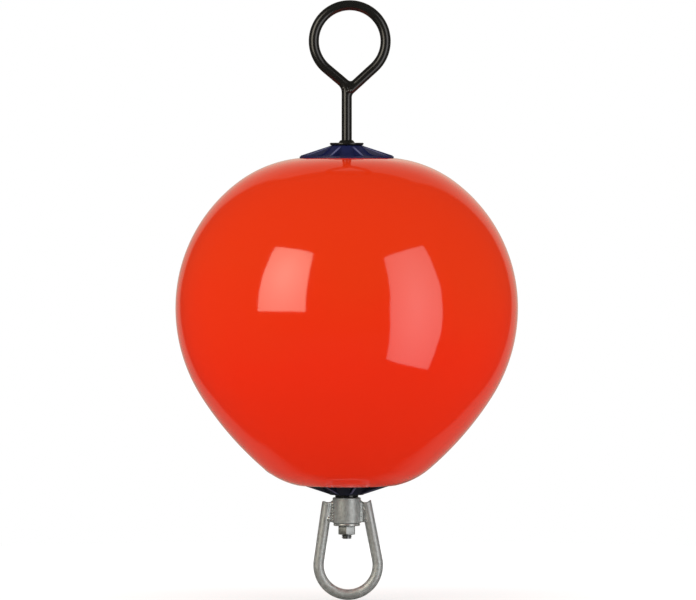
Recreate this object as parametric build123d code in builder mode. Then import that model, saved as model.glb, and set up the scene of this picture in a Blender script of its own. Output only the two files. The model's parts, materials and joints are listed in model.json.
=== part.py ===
from build123d import *
import os
from math import acos, asin, cos, degrees, radians, sin, sqrt, tan

# A mooring buoy: an inflated float on a steel rod, a ring eye above and a swivel eye below.
# The origin is on the rod's axis at the float's widest section, +Z up, all sizes in millimetres.

# Float: a blown skin whose outline is a chain of tangent arcs, up and down from the widest section
float_diameter = 400.0
float_wall = 4.5
shoulder_radius = 184.0
shoulder_turn = 52.5
crown_radius = 143.0
side_radius = 194.0
side_turn = 32.7
flank_radius = 382.0
flank_turn = 16.5
heel_radius = 90.0
tube_bore = 16.0
seat_margin = 0.5
recess_clearance = 1.0
recess_depth = 3.7
lip_rounding = 2.0
lip_wall_share = 0.9

# Inflation valve: a plug sunk in the heel, at the back
valve_slope = 53.0
valve_bearing = 172.0
valve_head_diameter = 11.0
valve_head_height = 1.6
valve_seat_depth = 0.7
valve_stem_diameter = 6.0
valve_skin = 1.2
valve_clearance = 0.1
valve_rounding = 0.5

# Hubs: two equal flared bosses, stiffened by straight-backed ribs, that clamp the float's ends
hub_diameter = 110.0
hub_height = 14.5
hub_edge = 2.2
hub_end_diameter = 39.0
hub_waist_diameter = 70.0
hub_flare_radius = 20.0
hub_edge_rounding = 0.8
hub_bore_clearance = 0.2
rib_count = 9
rib_thickness = 2.8
rib_end_height = 3.0
rib_set_back = 0.8
rib_rounding = 0.6
top_hub_turn = 10.0
bottom_hub_turn = 38.0

# Rod: one bar, threaded below, bent round to a ring above, its end welded back to the shank
rod_diameter = 12.0
ring_radius = 41.9
ring_offset = 3.5
ring_rise = 118.5
bent_leg_angle = 50.0
welded_leg_angle = 47.5
bend_radius = 18.0
toe_rounding = 9.0
notch_rounding = 3.0
ring_weld_width = 7.0
ring_weld_bite = 0.4
welded_leg_taper = 0.5
thread_overrun = 5.0
thread_chamfer = 1.2

# Stop plate welded to the rod, on top of the upper hub
plate_diameter = 39.6
plate_thickness = 3.4
plate_rounding = 0.8
plate_weld = 3.4

# Swivel: a bush that turns on the rod between a collar and a washer, with a bow welded to its sides
collar_diameter = 27.0
collar_thickness = 2.9
running_gap = 0.3
journal_clearance = 0.25
bush_diameter = 33.0
bush_length = 30.0
bush_chamfer = 1.0
bow_bar = 12.4
bow_radius = 34.6
bow_drop = 49.1
bow_leg_angle = 9.65
bow_end_drop = 4.6
weld_waist = 8.0
weld_flare = 12.0
weld_saddle = 5.5
weld_saddle_lap = 0.5
weld_notch = 2.4
weld_foot = 1.2

# Washer and nut that carry the swivel
washer_diameter = 31.0
washer_thickness = 2.8
washer_clearance = 0.5
nut_across_flats = 19.0
nut_height = 10.2
nut_turn = 27.5
nut_chamfer_angle = 30.0

RISE = (Align.CENTER, Align.CENTER, Align.MIN)
DROP = (Align.CENTER, Align.CENTER, Align.MAX)


def arc_step(start, radius, from_angle, to_angle):
    """Return the radius and height that an outline arc reaches, its normal turning between two angles."""
    step_out = radius * (cos(radians(to_angle)) - cos(radians(from_angle)))
    step_up = radius * (sin(radians(to_angle)) - sin(radians(from_angle)))
    return start[0] + step_out, start[1] + step_up


def arc_end_angle(start, radius, from_angle, end_radius):
    """Return the angle of the normal where an outline arc comes in to a given radius."""
    return degrees(acos(cos(radians(from_angle)) + (end_radius - start[0]) / radius))


# Heights and radii along the float's outline, the lower half measured downwards
rod_radius = rod_diameter / 2
hub_radius = hub_diameter / 2
widest = (float_diameter / 2, 0.0)
top_seat_radius = hub_radius + seat_margin
shoulder_end = arc_step(widest, shoulder_radius, 0, shoulder_turn)
crown_end_angle = arc_end_angle(shoulder_end, crown_radius, shoulder_turn, top_seat_radius)
top_seat_z = arc_step(shoulder_end, crown_radius, shoulder_turn, crown_end_angle)[1]

recess_radius = hub_radius + recess_clearance
flank_angle = side_turn + flank_turn
side_end = arc_step(widest, side_radius, 0, side_turn)
flank_end = arc_step(side_end, flank_radius, side_turn, flank_angle)
heel_end_angle = arc_end_angle(flank_end, heel_radius, flank_angle, recess_radius)
heel_end_z = -arc_step(flank_end, heel_radius, flank_angle, heel_end_angle)[1]
bottom_seat_z = heel_end_z + recess_depth

# Heights up and down the rod, each piece stacked on the one before
plate_z = top_seat_z + hub_height
plate_top_z = plate_z + plate_thickness
ring_z = plate_top_z + ring_rise
collar_z = bottom_seat_z - hub_height
bush_top_z = collar_z - collar_thickness - running_gap
bush_low_z = bush_top_z - bush_length
washer_z = bush_low_z - running_gap
nut_z = washer_z - washer_thickness
nut_low_z = nut_z - nut_height
rod_low_z = nut_low_z - thread_overrun
bow_z = bush_low_z - bow_drop


def float_half(inset):
    """Return the edges of half the float's section, every side moved inwards by the inset."""
    top_z = top_seat_z - inset
    low_z = bottom_seat_z + inset
    bore_radius = tube_bore / 2 + inset
    wall_radius = recess_radius + inset
    crown_middle_z = arc_step(shoulder_end, crown_radius, shoulder_turn, 0)[1]
    heel_middle_radius = arc_step(flank_end, heel_radius, flank_angle, 90)[0]
    crown_angle = degrees(asin((top_z - crown_middle_z) / (crown_radius - inset)))
    heel_angle = degrees(acos((wall_radius - heel_middle_radius) / (heel_radius - inset)))
    with BuildLine() as half:
        start = (widest[0] - inset, 0)
        shoulder = JernArc(start, (0, 1), shoulder_radius - inset, shoulder_turn)
        crown = JernArc(shoulder @ 1, shoulder % 1, crown_radius - inset, crown_angle - shoulder_turn)
        side = JernArc(start, (0, -1), side_radius - inset, -side_turn)
        flank = JernArc(side @ 1, side % 1, flank_radius - inset, -flank_turn)
        heel = JernArc(flank @ 1, flank % 1, heel_radius - inset, flank_angle - heel_angle)
        Polyline(crown @ 1, (bore_radius, top_z), (bore_radius, low_z), (wall_radius, low_z), heel @ 1)
    return half.edges()


# Float: a skin of even wall round a sealed air chamber, with a tube down the middle for the rod
outer_half = float_half(0)
chamber_half = float_half(float_wall)
with BuildPart() as float_shell:
    with BuildSketch(Plane.XZ):
        make_face(outer_half)
        make_face(chamber_half, mode=Mode.SUBTRACT)
    revolve(axis=Axis.Z)
    lip = float_shell.edges().filter_by(GeomType.CIRCLE).filter_by(
        lambda edge: abs(edge.center().Z - heel_end_z) < 0.01 and abs(edge.radius - recess_radius) < 0.01
    )
    lip_limit = lip_wall_share * recess_depth * tan(radians(heel_end_angle / 2))
    fillet(lip, min(lip_rounding, lip_limit))
    valve_foot = arc_step(flank_end, heel_radius, flank_angle, valve_slope)
    valve_out = Vector(1, 0, 0).rotate(Axis.Y, valve_slope).rotate(Axis.Z, valve_bearing)
    valve_point = Vector(valve_foot[0], 0, -valve_foot[1]).rotate(Axis.Z, valve_bearing)
    valve_plane = Plane(valve_point, z_dir=valve_out)
    with Locations(valve_plane):
        CounterBoreHole(
            radius=valve_stem_diameter / 2 + valve_clearance,
            counter_bore_radius=valve_head_diameter / 2 + valve_clearance,
            counter_bore_depth=valve_seat_depth,
            depth=float_wall - valve_skin,
        )
float_shell.part.label = "float"

# Valve plug: a low rounded head on a stem
with BuildPart(valve_plane.offset(-valve_seat_depth)) as valve_plug:
    Cylinder(valve_head_diameter / 2, valve_head_height, align=RISE)
    fillet(valve_plug.faces().sort_by(Axis((0, 0, 0), valve_out))[-1].edges(), valve_rounding)
    Cylinder(valve_stem_diameter / 2, float_wall - valve_skin - valve_seat_depth, align=DROP)
valve_plug.part.label = "valve_plug"

# One rib of a hub, its back running straight from the rim up to the flat end
with BuildPart() as rib:
    with BuildSketch(Plane.XZ):
        with BuildLine():
            Polyline(
                (hub_end_diameter / 2 - rib_set_back, hub_height),
                (hub_radius - rib_set_back, rib_end_height),
                (hub_radius - rib_set_back, hub_edge / 2),
                (hub_end_diameter / 2 - rib_set_back, hub_edge / 2),
                close=True,
            )
        make_face()
    extrude(amount=rib_thickness / 2, both=True)
    fillet(rib.edges().sort_by(Axis.Z)[-3:-1], rib_rounding)

# One hub: a boss that flares out to a thin flange, with the ribs bridging the flare
with BuildPart() as hub:
    with BuildSketch(Plane.XZ) as hub_section:
        with BuildLine():
            Polyline(
                (0, 0),
                (hub_radius, 0),
                (hub_radius, hub_edge),
                (hub_waist_diameter / 2, hub_edge),
                (hub_end_diameter / 2, hub_height),
                (0, hub_height),
                close=True,
            )
        make_face()
        fillet(hub_section.vertices().sort_by(Axis.X)[-3], hub_flare_radius)
        rim = hub_section.vertices().sort_by(Axis.X)[-2:]
        fillet(rim.sort_by(Axis.Y)[-1], hub_edge_rounding)
    revolve(axis=Axis.Z)
    with PolarLocations(0, rib_count):
        add(rib.part)
    Hole(rod_radius + hub_bore_clearance)

# The upper hub sits on the crown with a panel to the front, the lower one hangs with its ribs off centre
with BuildPart() as top_hub:
    with Locations(Location((0, 0, top_seat_z), (0, 0, top_hub_turn))):
        add(hub.part)
top_hub.part.label = "top_hub"

with BuildPart() as bottom_hub:
    with Locations(Location((0, 0, bottom_seat_z), (180, 0, bottom_hub_turn))):
        add(hub.part)
bottom_hub.part.label = "bottom_hub"

# Eye rod: shank, bend, leg and ring are one sweep, and the second leg runs back into the shank
bent_run = ring_radius * cos(radians(bent_leg_angle)) - ring_offset
bent_corner_z = ring_z - ring_radius * sin(radians(bent_leg_angle)) - bent_run / tan(radians(bent_leg_angle))
bend_start_z = bent_corner_z - bend_radius * tan(radians(bent_leg_angle / 2))
welded_run = ring_radius * cos(radians(welded_leg_angle)) + ring_offset
welded_leg_length = welded_run / sin(radians(welded_leg_angle))
weld_root_z = ring_z - ring_radius * sin(radians(welded_leg_angle)) - welded_run / tan(radians(welded_leg_angle))

# The ring's weld fills the toe below the second leg and the notch between the two legs
bent_way = Vector(0, 1).rotate(Axis.Z, bent_leg_angle)
welded_way = Vector(0, 1).rotate(Axis.Z, -welded_leg_angle)
weld_line = rod_radius - ring_weld_bite
bent_inside = Vector(0, bent_corner_z) + bent_way.rotate(Axis.Z, -90) * weld_line
welded_inside = Vector(0, weld_root_z) + welded_way.rotate(Axis.Z, 90) * weld_line
notch_step = (welded_inside - bent_inside).cross(welded_way).Z / bent_way.cross(welded_way).Z
notch_half_angle = radians((bent_leg_angle + welded_leg_angle) / 2)
notch_start = bent_inside + bent_way * (notch_step + notch_rounding / tan(notch_half_angle))
toe_half_turn = tan(radians(welded_leg_angle / 2))
toe_start_z = weld_root_z - (weld_line + toe_rounding) * toe_half_turn

with BuildPart() as eye_rod:
    with BuildLine(Plane.XZ):
        shank = Line((0, rod_low_z), (0, bend_start_z))
        bend = JernArc(shank @ 1, shank % 1, bend_radius, bent_leg_angle)
        ring = CenterArc(
            (ring_offset, ring_z),
            ring_radius,
            180 + bent_leg_angle,
            -(180 + bent_leg_angle + welded_leg_angle),
        )
        Line(bend @ 1, ring @ 0)
    with BuildSketch(Plane.XY.offset(rod_low_z)):
        Circle(rod_radius)
    sweep()
    chamfer(eye_rod.edges().group_by(Axis.Z)[0], thread_chamfer)
    with BuildSketch(Plane(ring @ 1, z_dir=ring % 1)):
        Circle(rod_radius)
    extrude(amount=welded_leg_length, taper=welded_leg_taper)
    with BuildSketch(Plane.XZ):
        with BuildLine():
            toe = JernArc((weld_line, toe_start_z), (0, 1), toe_rounding, -welded_leg_angle)
            Polyline(toe @ 1, (0, weld_root_z), toe @ 0)
        make_face()
        with BuildLine():
            notch = JernArc(
                notch_start, -bent_way, notch_rounding, 180 - bent_leg_angle - welded_leg_angle
            )
            Polyline(notch @ 1, (0, weld_root_z), notch @ 0)
        make_face()
    extrude(amount=ring_weld_width / 2, both=True)
eye_rod.part.label = "eye_rod"

# Stop plate: a round-edged disc with its fillet weld running up the rod
with BuildPart() as stop_plate:
    with Locations((0, 0, plate_z)):
        Cylinder(plate_diameter / 2, plate_thickness, align=RISE)
    fillet(stop_plate.edges().filter_by(GeomType.CIRCLE), plate_rounding)
    with Locations((0, 0, plate_top_z)):
        Cone(rod_radius + plate_weld, rod_radius, plate_weld, align=RISE)
        Hole(rod_radius)
stop_plate.part.label = "stop_plate"

# Thrust collar under the lower hub
with BuildPart() as thrust_collar:
    with Locations((0, 0, collar_z)):
        Cylinder(collar_diameter / 2, collar_thickness, align=DROP)
        Hole(rod_radius)
thrust_collar.part.label = "thrust_collar"

# Swivel bush, free to turn on the rod
bush_radius = bush_diameter / 2
with BuildPart() as swivel_bush:
    with Locations((0, 0, bush_top_z)):
        Cylinder(bush_radius, bush_length, align=DROP)
    chamfer(swivel_bush.edges().filter_by(GeomType.CIRCLE), bush_chamfer)
    with Locations((0, 0, bush_top_z)):
        Hole(rod_radius + journal_clearance)
swivel_bush.part.label = "swivel_bush"

# Bow: a bar bent to a pear shape, its two ends scooped where the weld melted them
bow_end_z = bush_top_z - bow_end_drop
bow_tangent = Vector(bow_radius, 0, 0).rotate(Axis.Y, -bow_leg_angle) + Vector(0, 0, bow_z)
bow_end_x = bow_tangent.X - (bow_end_z - bow_tangent.Z) * tan(radians(bow_leg_angle))
saddle_x = bush_radius + weld_saddle - weld_saddle_lap
with BuildPart() as swivel_bow:
    with BuildLine(Plane.XZ):
        bow_arc = CenterArc((0, bow_z), bow_radius, 180 - bow_leg_angle, 180 + 2 * bow_leg_angle)
        bow_start = Line((-bow_end_x, bow_end_z), bow_arc @ 0)
        Line(bow_arc @ 1, (bow_end_x, bow_end_z))
    with BuildSketch(Plane(bow_start @ 0, z_dir=bow_start % 0)):
        Circle(bow_bar / 2)
    sweep()
    with Locations((0, 0, bush_top_z)):
        Cylinder(bush_radius, bush_length, align=DROP, mode=Mode.SUBTRACT)
    with Locations(*[Location((x, 0, bush_top_z), (90, 0, 0)) for x in (-saddle_x, saddle_x)]):
        Cylinder(weld_saddle, 2 * bow_bar, mode=Mode.SUBTRACT)
swivel_bow.part.label = "swivel_bow"

# Welds: waisted beads that fill the wedge between bush and bow, one on each side
weld_low_z = bush_low_z + weld_foot
weld_start = bush_radius - weld_saddle
with BuildPart() as swivel_welds:
    with BuildSketch(Plane.XY.offset(weld_low_z)):
        with BuildLine():
            weld_middle = (weld_start + bow_end_x) / 2
            front = ThreePointArc(
                (weld_start, -weld_flare / 2), (weld_middle, -weld_waist / 2), (bow_end_x, -weld_flare / 2)
            )
            back = ThreePointArc(
                (weld_start, weld_flare / 2), (weld_middle, weld_waist / 2), (bow_end_x, weld_flare / 2)
            )
            Line(front @ 0, back @ 0)
            Line(front @ 1, back @ 1)
        make_face()
    extrude(amount=bush_length - weld_foot - bush_chamfer)
    with Locations((0, 0, bush_top_z)):
        Cylinder(bush_radius, bush_length, align=DROP, mode=Mode.SUBTRACT)
    with Locations(Location((saddle_x, 0, bush_top_z), (90, 0, 0))):
        Cylinder(weld_saddle, 2 * bow_bar, mode=Mode.SUBTRACT)
    with Locations(Location((bush_radius + weld_notch, 0, weld_low_z), (90, 0, 0))):
        Cylinder(weld_notch, 2 * bow_bar, mode=Mode.SUBTRACT)
    add(swivel_bow.part, mode=Mode.SUBTRACT)
    mirror(about=Plane.YZ)
swivel_welds.part.label = "swivel_welds"

# Retaining washer under the bush
with BuildPart() as retaining_washer:
    with Locations((0, 0, washer_z)):
        Cylinder(washer_diameter / 2, washer_thickness, align=DROP)
        Hole(rod_radius + washer_clearance)
retaining_washer.part.label = "retaining_washer"

# Hexagon nut: a prism whose corners are turned off at both ends
nut_corner = nut_across_flats / sqrt(3)
nut_corner_drop = (nut_corner - nut_across_flats / 2) * tan(radians(nut_chamfer_angle))
with BuildPart() as hex_nut:
    with BuildSketch(Plane.XY.offset(nut_low_z)):
        RegularPolygon(nut_corner, 6, rotation=nut_turn)
    extrude(amount=nut_height)
    with BuildSketch(Plane.XZ):
        with BuildLine():
            Polyline(
                (0, nut_low_z),
                (nut_across_flats / 2, nut_low_z),
                (nut_corner, nut_low_z + nut_corner_drop),
                (nut_corner, nut_z - nut_corner_drop),
                (nut_across_flats / 2, nut_z),
                (0, nut_z),
                close=True,
            )
        make_face()
    revolve(axis=Axis.Z, mode=Mode.INTERSECT)
    with Locations((0, 0, nut_z)):
        Hole(rod_radius)
hex_nut.part.label = "hex_nut"

os.makedirs("parts", exist_ok=True)
for piece in (
    float_shell,
    valve_plug,
    top_hub,
    bottom_hub,
    eye_rod,
    stop_plate,
    thrust_collar,
    swivel_bush,
    swivel_bow,
    swivel_welds,
    retaining_washer,
    hex_nut,
):
    export_step(piece.part, f"parts/{piece.part.label}.step")

for height_name, height in (
    ("top seat", top_seat_z),
    ("plate top", plate_top_z),
    ("ring centre", ring_z),
    ("bottom seat", bottom_seat_z),
    ("bush top", bush_top_z),
    ("bush bottom", bush_low_z),
    ("rod end", rod_low_z),
    ("bow centre", bow_z),
):
    print(f"{height_name}: {height:.2f}")
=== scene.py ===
# %% [markdown]
# # A mooring buoy
#
# An inflated float on a steel rod. A boat ties up to the ring above, and the ground chain hangs from the
# swivel below. The frame brings the solids at their real size, and this lesson gives each one its looks:
# first a few tools, then the finishes, then the float and its hardware, then light and camera.

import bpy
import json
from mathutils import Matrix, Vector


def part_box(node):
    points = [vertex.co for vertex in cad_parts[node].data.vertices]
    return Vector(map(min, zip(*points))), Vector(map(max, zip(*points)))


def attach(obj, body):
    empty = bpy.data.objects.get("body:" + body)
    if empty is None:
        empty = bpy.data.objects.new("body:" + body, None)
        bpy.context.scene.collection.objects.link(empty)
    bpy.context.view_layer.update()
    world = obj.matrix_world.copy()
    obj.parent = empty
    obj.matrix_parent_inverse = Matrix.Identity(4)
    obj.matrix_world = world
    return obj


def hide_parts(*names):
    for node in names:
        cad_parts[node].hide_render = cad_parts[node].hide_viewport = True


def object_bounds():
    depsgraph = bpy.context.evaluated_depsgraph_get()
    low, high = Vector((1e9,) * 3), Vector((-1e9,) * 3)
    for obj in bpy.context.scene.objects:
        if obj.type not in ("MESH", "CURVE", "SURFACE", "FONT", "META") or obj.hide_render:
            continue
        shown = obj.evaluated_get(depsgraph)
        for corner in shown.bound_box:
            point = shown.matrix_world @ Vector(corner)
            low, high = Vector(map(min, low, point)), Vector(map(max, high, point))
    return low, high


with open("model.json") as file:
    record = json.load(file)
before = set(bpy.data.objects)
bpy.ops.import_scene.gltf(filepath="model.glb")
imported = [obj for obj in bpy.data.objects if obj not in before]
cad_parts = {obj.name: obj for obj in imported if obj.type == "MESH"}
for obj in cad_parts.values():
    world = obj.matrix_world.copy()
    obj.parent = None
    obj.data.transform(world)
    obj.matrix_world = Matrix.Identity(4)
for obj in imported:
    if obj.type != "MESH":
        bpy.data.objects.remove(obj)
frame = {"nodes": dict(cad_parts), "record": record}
cad_low, cad_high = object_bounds()
print("frame:", sorted(frame["nodes"]), "height", round(cad_high.z - cad_low.z, 4), "m")

# %% [markdown]
# Blender measures in metres, but every part of a buoy is bought in millimetres. So the pieces are drawn in
# millimetres and scaled once, when they are finished. Heights come from the frame's boxes, so that each
# piece lands where its solid is.

# %% Millimetres
import json
import math

import bmesh
import bpy
from mathutils import Matrix, Vector, geometry

MM = 0.001


def box_mm(node):
    """Return a node's lowest and highest corner in millimetres."""
    low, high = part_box(node)
    return low / MM, high / MM


float_radius = box_mm("float")[1].x
print("float:", round(2 * float_radius, 1), "mm across")

# %% [markdown]
# Most pieces are turned, bent or drawn round the rod's axis. A turned piece starts as a single vertex that
# draws half a section: it is extruded along straight stretches and spun round an arc's centre on the round
# ones. One more spin, about the rod, makes the solid. Typing a list of points would hide the arcs, and with
# operators each arc stays one line with its radius.

# %% Tools that draw a section and turn it
SECTION_AXIS = (0, -1, 0)
ROD_AXIS = (0, 0, 1)
EDGE_SEGMENTS = 4


def pick(parts, kind):
    """Return the parts of one kind, such as the edges, out of those that an operator made."""
    return [part for part in parts if isinstance(part, kind)]


def draw_line(bm, tip, radius, height, steps=1):
    """Draw a straight stretch from the tip, in equal steps, and return the new tip."""
    start = tip.co.copy()
    stretch = Vector((radius, 0, height)) - start
    for step in range(steps):
        tip = bmesh.ops.extrude_vert_indiv(bm, verts=[tip])["verts"][0]
        tip.co = start + stretch * (step + 1) / steps
    return tip


def swing(bm, parts, centre, turn, steps):
    """Spin parts about a centre in the section, anticlockwise in the front view, and return the last ones."""
    swung = bmesh.ops.spin(
        bm,
        geom=parts,
        cent=(centre[0], 0, centre[1]),
        axis=SECTION_AXIS,
        angle=math.radians(turn),
        steps=steps,
    )
    return swung["geom_last"]


def draw_arc(bm, tip, centre, turn, steps):
    """Swing the tip about a centre and return the new tip."""
    return pick(swing(bm, [tip], centre, turn, steps), bmesh.types.BMVert)[0]


def spin_round(bm, parts, angle, steps, **options):
    """Spin parts about the rod's axis and return what the operator made."""
    return bmesh.ops.spin(
        bm, geom=parts, cent=(0, 0, 0), axis=ROD_AXIS, angle=angle, steps=steps, **options
    )


def lathe(outline, steps, rounding):
    """Turn a closed outline of (radius, height) corners, its corners rounded, into a bmesh."""
    bm = bmesh.new()
    tip = first = bm.verts.new((outline[0][0], 0, outline[0][1]))
    for radius, height in outline[1:]:
        tip = draw_line(bm, tip, radius, height)
    bm.edges.new((tip, first))
    bmesh.ops.bevel(
        bm,
        geom=bm.verts[:],
        offset=rounding,
        affect="VERTICES",
        segments=EDGE_SEGMENTS,
        profile=0.5,
        material=-1,
    )
    spin_round(bm, bm.verts[:] + bm.edges[:], math.tau, steps, use_merge=True)
    return bm


print("section tools ready")

# %% [markdown]
# Bars are bent, so they are swept: a circle of vertices is extruded along the straight runs and spun round
# the bends. The last ring of edges is handed on from one run to the next.

# %% Tools that sweep a bar
BAR_SIDES = 40


def ring_verts(ring):
    """Return the vertices of a ring of edges, each of them once."""
    return list(dict.fromkeys(vert for edge in ring for vert in edge.verts))


def start_bar(bm, radius, place, heading=90.0):
    """Make the bar's first ring, capped, facing a heading in the front view, and return its edges."""
    facing = Matrix.Rotation(math.radians(90 - heading), 4, "Y")
    stand = Matrix.Translation(place) @ facing
    made = bmesh.ops.create_circle(bm, cap_ends=True, segments=BAR_SIDES, radius=radius, matrix=stand)
    return list(dict.fromkeys(edge for vert in made["verts"] for edge in vert.link_edges))


def run_straight(bm, ring, way):
    """Extrude the bar's last ring along a vector and return the new ring."""
    grown = bmesh.ops.extrude_edge_only(bm, edges=ring)["geom"]
    verts = pick(grown, bmesh.types.BMVert)
    bmesh.ops.translate(bm, verts=verts, vec=way)
    return [edge for edge in pick(grown, bmesh.types.BMEdge) if all(vert in verts for vert in edge.verts)]


def run_bend(bm, ring, centre, turn, steps):
    """Swing the bar's last ring round a bend and return the new ring."""
    return pick(swing(bm, ring_verts(ring) + ring, centre, turn, steps), bmesh.types.BMEdge)


print("bar tools ready")

# %% [markdown]
# A weld is a run of small pools that froze one over the next. Beads of that kind are laid as a row of
# overlapping balls, fused by a voxel remesh and smoothed a little. Sculpting or metaballs would do too, but
# this way is repeatable and leaves one closed skin.

# %% Tools that lay and melt a weld
SMOOTH_FACTOR = 0.5


def lay_pool(bm, place, radius):
    """Lay one weld pool as a small ball."""
    bmesh.ops.create_icosphere(bm, subdivisions=2, radius=radius, matrix=Matrix.Translation(place))


def put_object(name, bm):
    """Copy a bmesh to a new object in the scene and return the object."""
    mesh = bpy.data.meshes.new(name)
    bm.to_mesh(mesh)
    made = bpy.data.objects.new(name, mesh)
    bpy.context.scene.collection.objects.link(made)
    return made


def fuse(holder, voxel):
    """Make one skin of an object's overlapping shells."""
    remesh = holder.modifiers.new("fuse", "REMESH")
    remesh.mode = "VOXEL"
    remesh.voxel_size = voxel


def melt(bm, voxel, rounds, cutters=None):
    """Fuse a bmesh's overlapping shells into one softened skin, less what the cutters take away."""
    holder = put_object("melt", bm)
    helpers = [holder]
    fuse(holder, voxel)
    if cutters:
        knife = put_object("knife", cutters)
        cutters.free()
        helpers.append(knife)
        carve = holder.modifiers.new("carve", "BOOLEAN")
        carve.operation = "DIFFERENCE"
        carve.object = knife
        fuse(holder, voxel)
    soften = holder.modifiers.new("soften", "SMOOTH")
    soften.factor = SMOOTH_FACTOR
    soften.iterations = rounds
    skin = bpy.data.meshes.new_from_object(holder.evaluated_get(bpy.context.evaluated_depsgraph_get()))
    bm.clear()
    bm.from_mesh(skin)
    for helper in helpers:
        bpy.data.objects.remove(helper)


print("weld tools ready")

# %% [markdown]
# The same last steps finish every piece: doubles are merged, faces turned outwards, the size brought to
# metres, and the object is told which body it rides on and which finish it has. The solids that it stands
# for are hidden.

# %% A tool that finishes a piece
MERGE_DISTANCE = 0.002
SHARP_ANGLE = math.radians(40)


def make_piece(name, bm, finish, body, nodes=()):
    """Turn a bmesh in millimetres into a finished object in metres."""
    bmesh.ops.remove_doubles(bm, verts=bm.verts, dist=MERGE_DISTANCE)
    bmesh.ops.recalc_face_normals(bm, faces=bm.faces)
    bmesh.ops.scale(bm, vec=(MM, MM, MM), verts=bm.verts)
    open_edges = sum(not edge.is_manifold for edge in bm.edges)
    piece = put_object(name, bm)
    bm.free()
    mesh = piece.data
    mesh.materials.append(finish)
    mesh.shade_smooth()
    mesh.set_sharp_from_angle(angle=SHARP_ANGLE)
    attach(piece, body)
    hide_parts(*nodes)
    mesh.calc_loop_triangles()
    print(name, len(mesh.loop_triangles), "triangles", open_edges, "open edges")


print("pieces merge at", MERGE_DISTANCE, "mm and are sharp from", round(math.degrees(SHARP_ANGLE)), "degrees")

# %% [markdown]
# Colours are written as sRGB hex values, as they would be picked from a paint card, and one function turns
# them to the linear values that shaders use. One more function adds a node. Its inputs are given by name or
# in the order of the sockets, and where an input is another node, that node's first output is linked to it.
# Pattern sizes are given in millimetres and turned to a texture scale.

# %% Tools for finishes
def linear(hex_code):
    """Return an sRGB hex colour as linear red, green, blue and alpha."""
    channels = [int(hex_code[place : place + 2], 16) / 255 for place in (1, 3, 5)]
    return (*[c / 12.92 if c <= 0.04045 else ((c + 0.055) / 1.055) ** 2.4 for c in channels], 1.0)


def per_metre(size_mm):
    """Return the texture scale at which a pattern's features are about that size."""
    return 1 / (size_mm * MM)


def add_node(tree, kind, inputs=(), **settings):
    """Add a node, set its settings, and set or link its inputs."""
    node = tree.nodes.new(kind)
    for name, value in settings.items():
        setattr(node, name, value)
    for socket, value in inputs.items() if isinstance(inputs, dict) else enumerate(inputs):
        if isinstance(value, bpy.types.Node):
            value = next(output for output in value.outputs if output.enabled)
        if isinstance(value, bpy.types.NodeSocket):
            tree.links.new(value, node.inputs[socket])
        else:
            node.inputs[socket].default_value = value
    return node


def new_finish(name):
    """Start an empty material and return it with its node tree and its Object coordinates."""
    finish = bpy.data.materials.new(name)
    finish.use_nodes = True
    tree = finish.node_tree
    tree.nodes.clear()
    place = add_node(tree, "ShaderNodeTexCoord").outputs["Object"]
    return finish, tree, place


print("finish tools ready")

# %% [markdown]
# The float is soft PVC, cast in a heated mould and pumped up hard. The mould is polished, so the skin is as
# glossy as wet paint, yet the rubbery sheet never comes out quite even: reflections of a window bend a
# little. Pigment is mixed right through, so the colour hardly varies but for a faint cloud. A drift from
# orange-red above the middle to a fuller red below it is painted light, as if the lower half were lit redder.

# %% Soft PVC
def make_soft_pvc():
    """Glossy pigmented PVC: a clear reflection whose edges waver, over an almost even orange-red, painted
    redder below.
    """
    finish, tree, place = new_finish("soft_pvc")
    cloud = add_node(tree, "ShaderNodeTexNoise", {"Vector": place, "Scale": per_metre(120.0), "Detail": 2.0})
    # Height tints the colour a fuller red below the middle: painted light.
    height = add_node(tree, "ShaderNodeSeparateXYZ", {"Vector": place}).outputs["Z"]
    cloud_and_painted_light = add_node(tree, "ShaderNodeMath", (cloud, 0.1, height), operation="MULTIPLY_ADD")
    painted_light_drift = add_node(tree, "ShaderNodeMapRange", {"Value": cloud_and_painted_light, "From Min": -0.03, "From Max": 0.1})
    shades = {"Factor": painted_light_drift, "A": linear("#E2290C"), "B": linear("#DB320C")}
    colour = add_node(tree, "ShaderNodeMix", shades, data_type="RGBA")
    wave = add_node(tree, "ShaderNodeTexNoise", {"Vector": place, "Scale": per_metre(45.0), "Detail": 1.0})
    swell = add_node(tree, "ShaderNodeBump", {"Height": wave, "Distance": 0.35 * MM, "Strength": 1.0})
    peel = add_node(tree, "ShaderNodeTexNoise", {"Vector": place, "Scale": per_metre(9.0), "Detail": 1.0})
    fine_relief = {"Height": peel, "Distance": 0.014 * MM, "Strength": 1.0, "Normal": swell}
    skin = add_node(tree, "ShaderNodeBump", fine_relief)
    bloom = add_node(tree, "ShaderNodeMapRange", {"Value": peel, "To Min": 0.05, "To Max": 0.08})
    surface = {"Base Color": colour, "Roughness": bloom, "IOR": 1.67, "Normal": skin}
    shader = add_node(tree, "ShaderNodeBsdfPrincipled", surface)
    add_node(tree, "ShaderNodeOutputMaterial", {"Surface": shader})
    return finish


soft_pvc = make_soft_pvc()
print("finish:", soft_pvc.name)
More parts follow.
